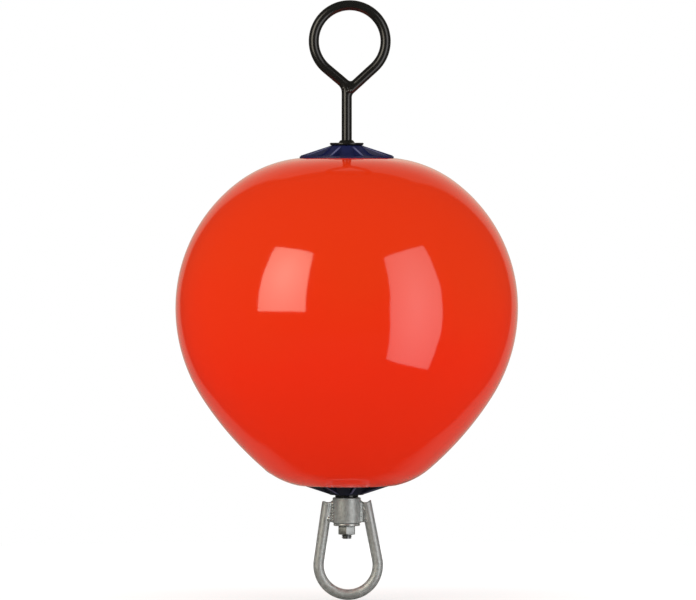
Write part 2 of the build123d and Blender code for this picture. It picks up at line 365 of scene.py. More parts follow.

# %% [markdown]
# The hubs are injection-moulded from navy plastic in a mould with a fine spark-eroded grain. That gives a
# dull sheen with broad highlights. The rib backs get a painted highlight, a paler colour where edges catch
# the lamps. The lower hub has a darker copy of the plastic, almost black, which is painted shade.

# %% Moulded plastic
def make_moulded_plastic(name, dark, pale, wear_and_highlight):
    """Navy moulded plastic: dull, finely grained, slightly clouded, with a painted highlight on the rib
    backs.
    """
    finish, tree, place = new_finish(name)
    cloud = add_node(tree, "ShaderNodeTexNoise", {"Vector": place, "Scale": per_metre(18.0), "Detail": 3.0})
    shades = {"Factor": cloud, "A": linear(dark), "B": linear(pale)}
    body = add_node(tree, "ShaderNodeMix", shades, data_type="RGBA")
    # The attribute mixes in a paler colour on the rib backs: a painted highlight.
    painted_highlight = add_node(tree, "ShaderNodeAttribute", attribute_name="painted_highlight")
    wear_and_highlight_inputs = {"Factor": painted_highlight.outputs["Fac"], "A": body, "B": linear(wear_and_highlight)}
    colour = add_node(tree, "ShaderNodeMix", wear_and_highlight_inputs, data_type="RGBA")
    grain = add_node(tree, "ShaderNodeTexNoise", {"Vector": place, "Scale": per_metre(1.2), "Detail": 2.0})
    relief = add_node(tree, "ShaderNodeBump", {"Height": grain, "Distance": 0.01 * MM, "Strength": 1.0})
    sheen = add_node(tree, "ShaderNodeMapRange", {"Value": cloud, "To Min": 0.42, "To Max": 0.56})
    surface = {"Base Color": colour, "Roughness": sheen, "IOR": 1.46, "Normal": relief}
    shader = add_node(tree, "ShaderNodeBsdfPrincipled", surface)
    add_node(tree, "ShaderNodeOutputMaterial", {"Surface": shader})
    return finish


navy_plastic = make_moulded_plastic("moulded_navy_plastic", "#0A1040", "#111A54", "#565884")
# The lower hub's copy is darker, almost black: painted shade, not a different plastic.
painted_shade_plastic = make_moulded_plastic("moulded_navy_plastic_painted_shade", "#080A20", "#0C0F2C", "#403E60")
print("finishes:", navy_plastic.name, painted_shade_plastic.name)

# %% [markdown]
# The rod is steel with a black coating, dipped or fused on as powder. The film flows before it sets, so it
# is smooth but faintly rippled, it rounds off the welds below it, and a few specks of dust stay in it.

# %% Dipped coating
def make_dipped_coating():
    """Black coating on steel: dark, semi-gloss, rippled by flow, with sparse pale specks."""
    finish, tree, place = new_finish("black_dipped_coating")
    cells = {"Vector": place, "Scale": per_metre(9.0)}
    speck = add_node(tree, "ShaderNodeTexVoronoi", cells, feature="F1", distance="EUCLIDEAN")
    speck_edge = {"Value": speck, "From Min": 0.03, "From Max": 0.05, "To Min": 1.0, "To Max": 0.0}
    dust = add_node(tree, "ShaderNodeMapRange", speck_edge)
    shades = {"Factor": dust, "A": linear("#151514"), "B": linear("#464642")}
    colour = add_node(tree, "ShaderNodeMix", shades, data_type="RGBA")
    flow = add_node(tree, "ShaderNodeTexNoise", {"Vector": place, "Scale": per_metre(9.0), "Detail": 1.0})
    relief = add_node(tree, "ShaderNodeBump", {"Height": flow, "Distance": 0.06 * MM, "Strength": 1.0})
    gloss = add_node(tree, "ShaderNodeMapRange", {"Value": flow, "To Min": 0.16, "To Max": 0.27})
    surface = {"Base Color": colour, "Roughness": gloss, "IOR": 1.58, "Normal": relief}
    shader = add_node(tree, "ShaderNodeBsdfPrincipled", surface)
    add_node(tree, "ShaderNodeOutputMaterial", {"Surface": shader})
    return finish


dipped_coating = make_dipped_coating()
print("finish:", dipped_coating.name)

# %% [markdown]
# The swivel was welded and then hung in molten zinc. The zinc drains off unevenly and freezes in crystals,
# so the skin is mottled from patch to patch and lumpy to the touch. In air it soon gets a thin pale bloom of
# oxide, which is matt, so the skin is a little less than a full metal. Where the zinc pooled over the welds
# it is thick and keeps its shine, which an attribute named pooled marks on their meshes.

# %% Hot-dip zinc
def make_hot_dip_zinc():
    """Hot-dip galvanised steel: mottled grey metal, dull in some crystals, brighter in others, lumpy."""
    finish, tree, place = new_finish("hot_dip_zinc")
    warp = add_node(tree, "ShaderNodeTexNoise", {"Vector": place, "Scale": per_metre(4.0), "Detail": 4.0})
    cells = {"Vector": place, "Scale": per_metre(2.6), "Randomness": 1.0}
    crystal = add_node(tree, "ShaderNodeTexVoronoi", cells, feature="F1")
    patches = {"Factor": 0.45, "A": warp, "B": crystal.outputs["Color"]}
    shade = add_node(tree, "ShaderNodeMix", patches, data_type="RGBA")
    shades = {"Factor": shade, "A": linear("#AAAFAF"), "B": linear("#D9DEDE")}
    colour = add_node(tree, "ShaderNodeMix", shades, data_type="RGBA")
    lump = add_node(tree, "ShaderNodeTexNoise", {"Vector": place, "Scale": per_metre(2.2), "Detail": 4.0})
    relief = add_node(tree, "ShaderNodeBump", {"Height": lump, "Distance": 0.16 * MM, "Strength": 1.0})
    oxide = {"Value": warp, "From Min": 0.3, "From Max": 0.7}
    dull = add_node(tree, "ShaderNodeMapRange", {**oxide, "To Min": 0.44, "To Max": 0.56})
    bare = add_node(tree, "ShaderNodeMapRange", {**oxide, "To Min": 0.8, "To Max": 0.66})
    pooled = add_node(tree, "ShaderNodeAttribute", attribute_name="pooled")
    rough = add_node(tree, "ShaderNodeMix", {"Factor": pooled.outputs["Fac"], "A": dull, "B": 0.24})
    surface = {"Base Color": colour, "Metallic": bare, "Roughness": rough, "Normal": relief}
    shader = add_node(tree, "ShaderNodeBsdfPrincipled", surface)
    add_node(tree, "ShaderNodeOutputMaterial", {"Surface": shader})
    return finish


hot_dip_zinc = make_hot_dip_zinc()
print("finish:", hot_dip_zinc.name)

# %% [markdown]
# The washer was dipped too, but spun while it was hot, so its coat is thin, smooth and bright. The nut is
# zinc-plated in a bath of salts: a thin film over the marks of the forging die. The end of the thread is the
# rod's own steel, dark with oil. The valve's plug is black rubber, matt and dusty.

# %% Spun zinc, plate, oiled thread and rubber
def make_small_finish(name, dark, pale, grain_mm, relief_mm, roughness, metallic):
    """A small part's finish: two shades in a fine grain, with that much relief and a roughness range."""
    finish, tree, place = new_finish(name)
    pattern = {"Vector": place, "Scale": per_metre(grain_mm), "Detail": 3.0}
    grain = add_node(tree, "ShaderNodeTexNoise", pattern)
    shades = {"Factor": grain, "A": linear(dark), "B": linear(pale)}
    colour = add_node(tree, "ShaderNodeMix", shades, data_type="RGBA")
    relief = add_node(tree, "ShaderNodeBump", {"Height": grain, "Distance": relief_mm * MM, "Strength": 1.0})
    wear_and_highlight_inputs = {"Value": grain, "To Min": roughness[0], "To Max": roughness[1]}
    wear_and_highlight = add_node(tree, "ShaderNodeMapRange", wear_and_highlight_inputs)
    surface = {"Base Color": colour, "Metallic": metallic, "Roughness": wear_and_highlight, "Normal": relief}
    shader = add_node(tree, "ShaderNodeBsdfPrincipled", surface)
    add_node(tree, "ShaderNodeOutputMaterial", {"Surface": shader})
    return finish


spun_zinc = make_small_finish("spun_zinc", "#BEC1C0", "#DADDDC", 3.0, 0.01, (0.26, 0.38), 0.8)
bright_zinc_plate = make_small_finish("bright_zinc_plate", "#B0B4B5", "#D0D4D5", 2.5, 0.02, (0.38, 0.54), 1.0)
oiled_thread = make_small_finish("oiled_thread_steel", "#93969A", "#B3B6B8", 1.5, 0.01, (0.3, 0.45), 1.0)
black_rubber = make_small_finish("black_rubber", "#141413", "#232321", 1.2, 0.02, (0.5, 0.7), 0.0)
print("finishes:", spun_zinc.name, bright_zinc_plate.name, oiled_thread.name, black_rubber.name)

# %% [markdown]
# The float's half section is a chain of arcs that run into each other without a kink, as a blown skin does:
# shoulder and crown above the widest section, side, flank and heel below. Each arc's centre lies on the line
# from the last arc's centre to its end, which keeps the tangents the same. Below, the skin turns in over a
# small lip to the recess that takes the lower hub.

# %% The float's arcs
shoulder_radius, shoulder_turn = 184.0, 52.5
crown_radius = 143.0
side_radius, side_turn = 194.0, 32.7
flank_radius, flank_turn = 382.0, 16.5
heel_radius = 90.0
lip_rounding = 2.0
recess_clearance = 1.0
seat_margin = 0.5
tube_bore_radius = 8.0

hub_low, hub_high = box_mm("top_hub")
hub_radius = hub_high.x
top_seat = hub_low.z
bottom_seat = box_mm("bottom_hub")[1].z


def polar(angle, length):
    """Return a step of that length in the section, at an angle from the horizontal."""
    return Vector((math.cos(math.radians(angle)), math.sin(math.radians(angle)))) * length


shoulder_centre = Vector((float_radius - shoulder_radius, 0))
crown_centre = shoulder_centre + polar(shoulder_turn, shoulder_radius - crown_radius)
crown_end = math.degrees(math.acos((hub_radius + seat_margin - crown_centre.x) / crown_radius))
side_centre = Vector((float_radius - side_radius, 0))
flank_centre = side_centre + polar(-side_turn, side_radius - flank_radius)
flank_end = side_turn + flank_turn
heel_centre = flank_centre + polar(-flank_end, flank_radius - heel_radius)
recess_radius = hub_radius + recess_clearance
lip_reach = recess_radius + lip_rounding - heel_centre.x
lip_drop = math.sqrt((heel_radius - lip_rounding) ** 2 - lip_reach**2)
lip_centre = heel_centre + Vector((lip_reach, -lip_drop))
lip_start = math.degrees(math.atan2(lip_drop, lip_reach))
print("crown ends at", round(crown_end, 1), "degrees, the lip starts at", round(lip_start, 1))

# %% [markdown]
# Two tips draw the half section from its widest point, one up and one down, until both reach the tube that
# the rod runs through. A spin in 256 steps is fine enough that the outline shows no corners.

# %% The float
arc_stretch = 3.0
lip_steps = 8
float_steps = 256


def draw_skin(bm, tip, centre, radius, turn):
    """Draw one arc of the float in short stretches and return the new tip."""
    return draw_arc(bm, tip, centre, turn, round(abs(math.radians(turn)) * radius / arc_stretch))


def make_float():
    """Draw the float's half section from its widest point and turn it."""
    bm = bmesh.new()
    widest = bm.verts.new((float_radius, 0, 0))
    tip = draw_skin(bm, widest, shoulder_centre, shoulder_radius, shoulder_turn)
    tip = draw_skin(bm, tip, crown_centre, crown_radius, crown_end - shoulder_turn)
    upper_end = draw_line(bm, tip, tube_bore_radius, top_seat)
    tip = draw_skin(bm, widest, side_centre, side_radius, -side_turn)
    tip = draw_skin(bm, tip, flank_centre, flank_radius, -flank_turn)
    tip = draw_skin(bm, tip, heel_centre, heel_radius, flank_end - lip_start)
    tip = draw_arc(bm, tip, lip_centre, lip_start - 180, lip_steps)
    tip = draw_line(bm, tip, recess_radius, bottom_seat)
    tip = draw_line(bm, tip, tube_bore_radius, bottom_seat)
    bm.edges.new((tip, upper_end))
    spin_round(bm, bm.verts[:] + bm.edges[:], math.tau, float_steps, use_merge=True)
    make_piece("pvc_float", bm, soft_pvc, "buoy", ["float"])


make_float()

# %% [markdown]
# The valve is a rubber plug, pressed into the heel at the left and a little towards the back. A pump's needle
# goes in through the small hole in its dished head. It is turned about its own axis and then set on the
# float's slope.

# %% The valve plug
valve_slope = 53.0
valve_bearing = 172.0
plug_radius = 5.5
plug_proud = 0.9
plug_sunk = 2.0
plug_dish = 0.5
plug_rim = (1.6, 1.1)
plug_chamfer = 0.4
plug_rounding = 0.15
needle_hole = 0.8


def make_plug():
    """Turn the plug's head and set it on the heel."""
    outline = [
        (needle_hole, plug_proud - 2 * plug_dish),
        (needle_hole, plug_proud - plug_dish),
        (plug_radius - plug_rim[0], plug_proud - plug_dish),
        (plug_radius - plug_rim[1], plug_proud),
        (plug_radius - plug_chamfer, plug_proud),
        (plug_radius, plug_proud - plug_chamfer),
        (plug_radius, -plug_sunk),
        (needle_hole, -plug_sunk),
    ]
    bm = lathe(outline, steps=48, rounding=plug_rounding)
    foot = heel_centre + polar(-valve_slope, heel_radius)
    tilt = Matrix.Rotation(math.radians(90 + valve_slope), 4, "Y")
    turn = Matrix.Rotation(math.radians(valve_bearing), 4, "Z")
    seating = turn @ Matrix.Translation((foot.x, 0, foot.y)) @ tilt
    bmesh.ops.transform(bm, matrix=seating, verts=bm.verts)
    make_piece("rubber_plug", bm, black_rubber, "buoy", ["valve_plug"])


make_plug()

# %% [markdown]
# A hub is a boss that flares to a thin flange, with nine ribs across the flare. One ninth of it is spun from
# the half section, and the vertices near its middle are then lifted to the rib's back and pulled in to the
# rib's sides, with a rounding at the top edge and a fillet at the root, as the mould has. Ribs pushed in as
# separate plates would leave hard, unmoulded corners.

# %% The hub's measures
hub_height = hub_high.z - hub_low.z
hub_edge = 2.2
hub_edge_rounding = 0.8
hub_end_radius = 19.5
hub_waist_radius = 35.0
hub_flare_radius = 20.0
hub_bore_radius = 6.2
rib_count = 9
rib_half = 1.4
rib_set_back = 0.8
rib_end_height = 3.0
rib_top_rounding = 0.6
rib_root_fillet = 1.3
# The painted highlight on a rib's back is full from this height of the rib.
rib_highlight_height = 4.0

flare_slope = math.degrees(math.atan2(hub_height - hub_edge, hub_waist_radius - hub_end_radius))
flare_run = hub_flare_radius * math.tan(math.radians(flare_slope / 2))
flare_centre = (hub_waist_radius + flare_run, hub_edge + hub_flare_radius)
rib_inner = hub_end_radius - rib_set_back
rib_outer = hub_radius - rib_set_back
rib_fall = (hub_height - rib_end_height) / (rib_outer - rib_inner)
print("hub flare", round(flare_slope, 1), "degrees, rib back falls", round(rib_fall, 3))

# %% [markdown]
# The spin leaves twelve columns of vertices on each side of the rib's middle. The first seven become half a
# rib: four across its back and round its edge, three from the foot of its wall through the fillet. The others
# are spread evenly over the rest of the ninth. The back's vertices also get an attribute that the plastic
# turns paler: a painted highlight, weaker where the rib is low.

# %% One ninth of a hub
half_columns = 12
highlight_columns = 3
half_sector = math.pi / rib_count


def rib_columns(height):
    """Return the columns of half a rib of that height, each as its offset from the middle and its lift."""
    top = min(rib_top_rounding, height / 3)
    root = min(rib_root_fillet, height / 2)
    slant = 1 - math.sqrt(0.5)
    return [
        (0.0, height),
        (rib_half - rib_top_rounding, height),
        (rib_half - rib_top_rounding * slant, height - top * slant),
        (rib_half, height - top),
        (rib_half, root),
        (rib_half + rib_root_fillet * slant, root * slant),
        (rib_half + rib_root_fillet, 0.0),
    ]


def shape_rib(bm):
    """Lift and pull the vertices of one ninth of a hub to the rib in its middle, and mark its back for the
    painted highlight.
    """
    painted_highlight = bm.verts.layers.float.new("painted_highlight")
    for vert in bm.verts:
        radius = vert.co.xy.length
        bearing = math.atan2(vert.co.y, vert.co.x)
        column = round(abs(bearing) / half_sector * half_columns)
        on_top = vert.co.z > hub_edge - MERGE_DISTANCE and rib_inner < radius < rib_outer + MERGE_DISTANCE
        back = hub_height - (radius - rib_inner) * rib_fall
        height = max(0.0, back - vert.co.z) if on_top else 0.0
        columns = rib_columns(height)
        root = len(columns) - 1
        offset, lift = columns[min(column, root)]
        angle = math.asin(offset / max(radius, hub_end_radius))
        if column > root:
            angle += (half_sector - angle) * (column - root) / (half_columns - root)
        # The rib's back gets the painted highlight, weaker where the rib is low.
        if column < highlight_columns and lift > 0:
            vert[painted_highlight] = min(1.0, height / rib_highlight_height)
        angle = math.copysign(angle, bearing)
        vert.co = (radius * math.cos(angle), radius * math.sin(angle), vert.co.z + lift)


def make_hub_ninth():
    """Draw a hub's half section, spin one ninth of it and shape its rib."""
    bm = bmesh.new()
    edge_foot = hub_edge - hub_edge_rounding
    first = bm.verts.new((hub_bore_radius, 0, 0))
    tip = draw_line(bm, first, hub_radius, 0, steps=4)
    tip = draw_line(bm, tip, hub_radius, edge_foot)
    tip = draw_arc(bm, tip, (hub_radius - hub_edge_rounding, edge_foot), 90, steps=5)
    tip = draw_line(bm, tip, flare_centre[0], hub_edge, steps=10)
    tip = draw_arc(bm, tip, flare_centre, -flare_slope, steps=10)
    tip = draw_line(bm, tip, hub_end_radius, hub_height, steps=12)
    tip = draw_line(bm, tip, rib_inner, hub_height)
    tip = draw_line(bm, tip, hub_bore_radius, hub_height, steps=3)
    bm.edges.new((tip, first))
    bmesh.ops.rotate(bm, verts=bm.verts, cent=(0, 0, 0), matrix=Matrix.Rotation(-half_sector, 3, "Z"))
    spin_round(bm, bm.verts[:] + bm.edges[:], 2 * half_sector, 2 * half_columns)
    shape_rib(bm)
    return bm


print("one ninth of a hub spans", round(math.degrees(2 * half_sector), 1), "degrees")

# %% [markdown]
# Eight turned copies close the ring, and their seams go when doubles are merged. The lower hub is the same
# moulding upside down, with its ribs at other bearings.

# %% The two hubs
def make_hub(name, node, finish, turn, flip, seat):
    """Repeat the ninth round the axis, flip the hub by an angle and seat it."""
    bm = make_hub_ninth()
    copies = rib_count - 1
    everything = bm.verts[:] + bm.edges[:] + bm.faces[:]
    spin_round(bm, everything, 2 * half_sector * copies, copies, use_duplicate=True)
    seating = Matrix.Translation((0, 0, seat)) @ Matrix.Rotation(math.radians(flip), 4, "X")
    bmesh.ops.transform(bm, matrix=seating @ Matrix.Rotation(math.radians(turn), 4, "Z"), verts=bm.verts)
    make_piece(name, bm, finish, "buoy", [node])


make_hub("upper_hub", "top_hub", navy_plastic, turn=10.0, flip=0.0, seat=top_seat)
# The lower hub takes the darker copy of the plastic: painted shade.
make_hub("lower_hub", "bottom_hub", painted_shade_plastic, turn=38.0, flip=180.0, seat=bottom_seat)

# %% [markdown]
# The rod is one bar. It runs up from the nut, bends to the left, goes once round the ring and comes back to
# its own shank, where it is welded. The corners between these runs follow from the ring's centre and the
# angles of its two legs.

# %% The rod's measures
nut_low, nut_high = box_mm("hex_nut")
rod_radius = 6.0
rod_foot = nut_low.z + 2.0
ring_radius = 41.9
bent_leg_angle = 50.0
welded_leg_angle = 47.5
bend_radius = 18.0
eye = next(mount for mount in frame["record"]["mounts"] if mount["name"] == "ring_eye")["pos_m"]
ring_centre = Vector((eye[0], eye[2])) / MM

leg_start = ring_centre + polar(180 + bent_leg_angle, ring_radius)
corner_height = leg_start.y + leg_start.x / math.tan(math.radians(bent_leg_angle))
bend_start = corner_height - bend_radius * math.tan(math.radians(bent_leg_angle / 2))
bend_end = Vector((-bend_radius, bend_start)) + polar(bent_leg_angle, bend_radius)
leg_end = ring_centre + polar(-welded_leg_angle, ring_radius)
weld_root = leg_end.y - leg_end.x / math.tan(math.radians(welded_leg_angle))
print("ring centre", [round(value, 1) for value in ring_centre], "weld at", round(weld_root, 1))

# %% [markdown]
# The sweep follows the smith's steps: straight, bend, straight, ring, straight. It starts inside the nut,
# where the thread takes over.

# %% The rod
def flat(step):
    """Return a step in the section as a vector in space."""
    return Vector((step.x, 0, step.y))


def make_rod():
    """Sweep the bar from the nut up to the ring and back to the shank."""
    bm = bmesh.new()
    ring = start_bar(bm, rod_radius, (0, 0, rod_foot))
    ring = run_straight(bm, ring, (0, 0, bend_start - rod_foot))
    ring = run_bend(bm, ring, (-bend_radius, bend_start), bent_leg_angle, steps=14)
    ring = run_straight(bm, ring, flat(leg_start - bend_end))
    ring = run_bend(bm, ring, ring_centre, -(180 + bent_leg_angle + welded_leg_angle), steps=110)
    ring = run_straight(bm, ring, flat(Vector((0, weld_root)) - leg_end))
    bmesh.ops.contextual_create(bm, geom=ring)
    make_piece("ring_rod", bm, dipped_coating, "buoy", ["eye_rod"])


make_rod()

# %% [markdown]
# Where the bar comes back to its shank, weld fills the notch above and the toe below, and the coating has
# flowed over it all, so the three bars seem to grow out of each other. The same look comes from three bent
# stubs, one round each corner of the joint, melted together with a few weld pools. The stubs are a hair
# thinner than the bar, so only the weld itself shows. Each pool is given by its place across, its depth, its
# height over the root and its radius.

# %% The ring's weld
notch_rounding = 4.0
toe_rounding = 7.0
weld_stub = rod_radius - 0.02
weld_leg = 9.0
weld_foot = weld_root - 18.0
weld_pools = [(-3.5, 3.4, 5.0, 2.3), (-1.2, 3.8, 2.6, 2.2), (1.2, 4.0, 1.4, 2.6), (3.4, 4.0, 2.2, 3.0)]


def lay_stub(bm, place, heading, run, centre, turn):
    """Sweep a stub of the bar: straight, once round a corner and straight again."""
    ring = start_bar(bm, weld_stub, flat(place), heading)
    ring = run_straight(bm, ring, flat(polar(heading, run)))
    ring = run_bend(bm, ring, centre, turn, steps=14)
    ring = run_straight(bm, ring, flat(polar(heading + turn, weld_leg)))
    bmesh.ops.contextual_create(bm, geom=ring)


def make_ring_weld():
    """Melt a stub round each of the joint's three corners with weld pools on both faces."""
    bm = bmesh.new()
    foot = Vector((0, weld_foot))
    lay_stub(bm, foot, 90, bend_start - weld_foot, (-bend_radius, bend_start), bent_leg_angle)
    toe_bend = toe_rounding + rod_radius
    toe_start = weld_root - toe_bend * math.tan(math.radians(welded_leg_angle / 2))
    lay_stub(bm, foot, 90, toe_start - weld_foot, (toe_bend, toe_start), -welded_leg_angle)
    notch_bend = notch_rounding + rod_radius
    notch_turn = 180 - bent_leg_angle - welded_leg_angle
    corner, root = Vector((0, corner_height)), Vector((0, weld_root))
    bent_way, welded_way = polar(90 + bent_leg_angle, 1), polar(90 - welded_leg_angle, 1)
    bent_line = (corner - bent_way * ring_radius, corner + bent_way * ring_radius)
    cross = geometry.intersect_line_line_2d(*bent_line, root, root + welded_way * ring_radius)
    notch_start = cross + bent_way * notch_bend * math.tan(math.radians(notch_turn / 2))
    notch_centre = notch_start + polar(bent_leg_angle, notch_bend)
    leg_top = notch_start + bent_way * weld_leg
    lay_stub(bm, leg_top, bent_leg_angle - 90, weld_leg, notch_centre, notch_turn)
    for across, depth, rise, radius in weld_pools:
        for face in (-1, 1):
            lay_pool(bm, (across, face * depth, weld_root + rise), radius)
    melt(bm, voxel=0.45, rounds=8)
    make_piece("ring_weld", bm, dipped_coating, "buoy")


make_ring_weld()

# %% [markdown]
# Below the nut a few turns of the rod's thread show. A thread is one tooth carried round and up at the same
# time, so the tooth's outline is spun with a rise at each step. The first turn is thinned to the chamfer at
# the rod's end. A plain core closes the inside, and the tooth's root sinks into it.

# %% The thread
thread_pitch = 1.75
thread_depth = 1.05
thread_root_half = 0.44 * thread_pitch
thread_crest_half = 0.07 * thread_pitch
thread_sink = 0.2
thread_chamfer = 1.2
thread_inside_nut = 4.0
thread_steps = 48
core_radius = rod_radius - thread_depth
core_chamfer = 0.4


def make_thread():
    """Spin a tooth up the rod's end and set a core inside it."""
    low, high = box_mm("eye_rod")[0].z, nut_low.z + thread_inside_nut
    middle = low + thread_pitch / 2
    bm = bmesh.new()
    first = bm.verts.new((core_radius - thread_sink, 0, middle - thread_root_half))
    tip = draw_line(bm, first, rod_radius, middle - thread_crest_half)
    tip = draw_line(bm, tip, rod_radius, middle + thread_crest_half)
    tip = draw_line(bm, tip, core_radius - thread_sink, middle + thread_root_half)
    bm.edges.new((tip, first))
    bmesh.ops.contextual_create(bm, geom=bm.edges[:])
    steps = round(thread_steps * ((high - low) / thread_pitch - 1))
    rise = (0, 0, thread_pitch / thread_steps)
    swung = spin_round(bm, bm.verts[:] + bm.edges[:], math.tau * steps / thread_steps, steps, dvec=rise)
    bmesh.ops.contextual_create(bm, geom=pick(swung["geom_last"], bmesh.types.BMEdge))
    for vert in bm.verts:
        limit = rod_radius - thread_chamfer + (vert.co.z - low)
        vert.co.xy *= min(1.0, limit / vert.co.xy.length)
    ring = start_bar(bm, core_radius - core_chamfer, (0, 0, low))
    ring = run_straight(bm, ring, (0, 0, core_chamfer))
    for vert in ring_verts(ring):
        vert.co.xy *= core_radius / (core_radius - core_chamfer)
    ring = run_straight(bm, ring, (0, 0, high - low - core_chamfer))
    bmesh.ops.contextual_create(bm, geom=ring)
    make_piece("rod_thread", bm, oiled_thread, "buoy")


make_thread()

# %% [markdown]
# A disc is welded to the rod to hold the upper hub down, and it got its coat together with the rod. The disc
# is turned, and its bead is two rings of weld pools melted together with it, each ring given by its height
# over the disc and its reach from the axis.

# %% The stop plate
plate_low, plate_high = box_mm("stop_plate")
plate_radius = plate_high.x
plate_top = plate_low.z + 3.4
plate_chamfer = 1.5
plate_rounding = 0.7
plate_bore = rod_radius - 0.3
plate_bead = ((0.5, 7.6), (1.6, 6.5))
plate_pools = 34
plate_pool_radius = 1.5
plate_pool_ripple = 0.08


def make_plate():
    """Turn the disc, lay a bead round the rod and melt the two."""
    outline = [
        (plate_bore, plate_low.z),
        (plate_radius - plate_chamfer, plate_low.z),
        (plate_radius, plate_low.z + plate_chamfer),
        (plate_radius, plate_top),
        (plate_bore, plate_top),
    ]
    bm = lathe(outline, steps=96, rounding=plate_rounding)
    for height, reach in plate_bead:
        for count in range(plate_pools):
            bearing = Matrix.Rotation(math.tau * count / plate_pools, 3, "Z")
            radius = plate_pool_radius * (1 + plate_pool_ripple * (count % 2))
            lay_pool(bm, bearing @ Vector((reach, 0, plate_top + height)), radius)
    melt(bm, voxel=0.4, rounds=6)
    make_piece("weld_plate", bm, dipped_coating, "buoy", ["stop_plate"])


make_plate()

# %% [markdown]
# Collar, washer and bush are turned rings with their edges broken. The collar wears the rod's coating. The
# washer and the bush were dipped in zinc, which rounds their edges.

# %% Collar, washer and bush
washer_play = 0.5
bush_play = 0.25


def make_ring(name, node, play, rounding, finish, body):
    """Turn a plain ring at its solid's place, with that much play on the rod and with rounded edges."""
    low, high = box_mm(node)
    bore = rod_radius + play
    outline = [(bore, low.z), (high.x, low.z), (high.x, high.z), (bore, high.z)]
    make_piece(name, lathe(outline, 96, rounding), finish, body, [node])


make_ring("collar_ring", "thrust_collar", 0.0, 0.5, dipped_coating, "buoy")
make_ring("washer_disc", "retaining_washer", washer_play, 0.9, spun_zinc, "buoy")
make_ring("zinc_bush", "swivel_bush", bush_play, 1.1, hot_dip_zinc, "swivel")

# %% [markdown]
# The bow is a bar bent to a pear shape. It is swept like the rod, from the right end down, round the bottom
# and up again. The one in this picture hangs a little askew, so it is leaned at the end.

# %% The bow
bush_low, bush_high = box_mm("swivel_bush")
bow_bar_radius = 6.2
bow_radius = 34.6
bow_leg_angle = 9.65
bow_lean = 1.35
saddle_height = bush_high.z - 8.0
bow_centre_height = box_mm("swivel_bow")[0].z + bow_radius + bow_bar_radius
bow_join = polar(bow_leg_angle, bow_radius) + Vector((0, bow_centre_height))


def on_leg(height):
    """Return the right leg's middle at a height, in the section."""
    return Vector((bow_join.x - (height - bow_join.y) * math.tan(math.radians(bow_leg_angle)), height))


def lean_bow(bm):
    """Lean what is drawn so far by the bow's small angle, about the middle between its ends."""
    lean = Matrix.Rotation(math.radians(-bow_lean), 3, "Y")
    bmesh.ops.rotate(bm, verts=bm.verts, cent=(0, 0, saddle_height), matrix=lean)


def make_bow():
    """Sweep the bow from its right end down, round and up to its left end."""
    bm = bmesh.new()
    top = on_leg(saddle_height)
    leg = bow_join - top
    ring = start_bar(bm, bow_bar_radius, flat(top), bow_leg_angle - 90)
    ring = run_straight(bm, ring, flat(leg))
    ring = run_bend(bm, ring, (0, bow_centre_height), -(180 + 2 * bow_leg_angle), steps=72)
    ring = run_straight(bm, ring, (leg.x, 0, -leg.y))
    bmesh.ops.contextual_create(bm, geom=ring)
    lean_bow(bm)
    make_piece("zinc_bow", bm, hot_dip_zinc, "swivel", ["swivel_bow"])


make_bow()

# %% [markdown]
# The bow's ends stand beside the bush, and the space between them is filled with weld. Its top is scooped,
# where the metal was melted away. A web and the bar's end are melted together with a row of weld pools along
# each seam and a few larger drops, after a round cutter has taken the scoop out. Each drop is given by its
# place across, its height from the bush's top and its radius.

# %% The bow's welds
bow_end_height = bush_high.z - 4.6
stub_foot = bush_low.z - 10.0
stub_sink = 0.9
web_low, web_high = bush_low.z + 1.2, bush_high.z - 1.0
web_half = 4.6
web_in_bush = 2.0
web_short_of_leg = 1.0
bead_low, bead_high = web_low + 0.8, web_high - 5.2
bead_pools = 24
bead_radius = 1.6
bead_ripple = 0.12
ripple_step = 1.9
leg_seam = 3.4
leg_seam_inset = 0.4
leg_seam_thinner = 0.15
weld_drops = [(21.4, -13.8, 2.1), (23.0, -19.5, 1.6), (-21.0, -24.8, 2.2), (-22.6, -12.0, 1.7)]
drop_inset = 0.2
saddle_radius = 5.8
saddle_reach = 21.8
saddle_stretch = 1.05
pool_fade = 3.0


def add_bow_ends(bm):
    """Add the bar's two ends, slimmer towards the bow so that they sink into it."""
    upper, lower = on_leg(bow_end_height), on_leg(stub_foot)
    middle = (upper + lower) / 2
    for side in (-1, 1):
        lean = Matrix.Rotation(math.radians(-side * bow_leg_angle), 4, "Y")
        bmesh.ops.create_cone(
            bm,
            cap_ends=True,
            segments=BAR_SIDES,
            radius1=bow_bar_radius - stub_sink,
            radius2=bow_bar_radius,
            depth=(upper - lower).length,
            matrix=Matrix.Translation((side * middle.x, 0, middle.y)) @ lean,
        )
    lean_bow(bm)


def add_webs(bm):
    """Add the web between the bush and the bar on each side."""
    inner, outer = bush_high.x - web_in_bush, on_leg(web_low).x - web_short_of_leg
    size = Matrix.Diagonal((outer - inner, 2 * web_half, web_high - web_low, 1))
    for side in (-1, 1):
        middle = Matrix.Translation((side * (inner + outer) / 2, 0, (web_low + web_high) / 2))
        bmesh.ops.create_cube(bm, size=1.0, matrix=middle @ size)


def add_bow_beads(bm):
    """Add the weld pools along the seams of both webs, on both faces, and the larger drops."""
    bush_seam = math.sqrt(bush_high.x**2 - web_half**2)
    for face in (-1, 1):
        for count in range(bead_pools):
            height = bead_low + (bead_high - bead_low) * count / (bead_pools - 1)
            reach = on_leg(height).x - leg_seam
            for side in (-1, 1):
                radius = bead_radius + bead_ripple * math.sin(ripple_step * count + side)
                lay_pool(bm, (side * bush_seam, face * web_half, height), radius)
                place = (side * reach, face * (web_half - leg_seam_inset), height)
                lay_pool(bm, place, radius - leg_seam_thinner)
        for across, rise, radius in weld_drops:
            lay_pool(bm, (across, face * (web_half - drop_inset), bush_high.z + rise), radius)


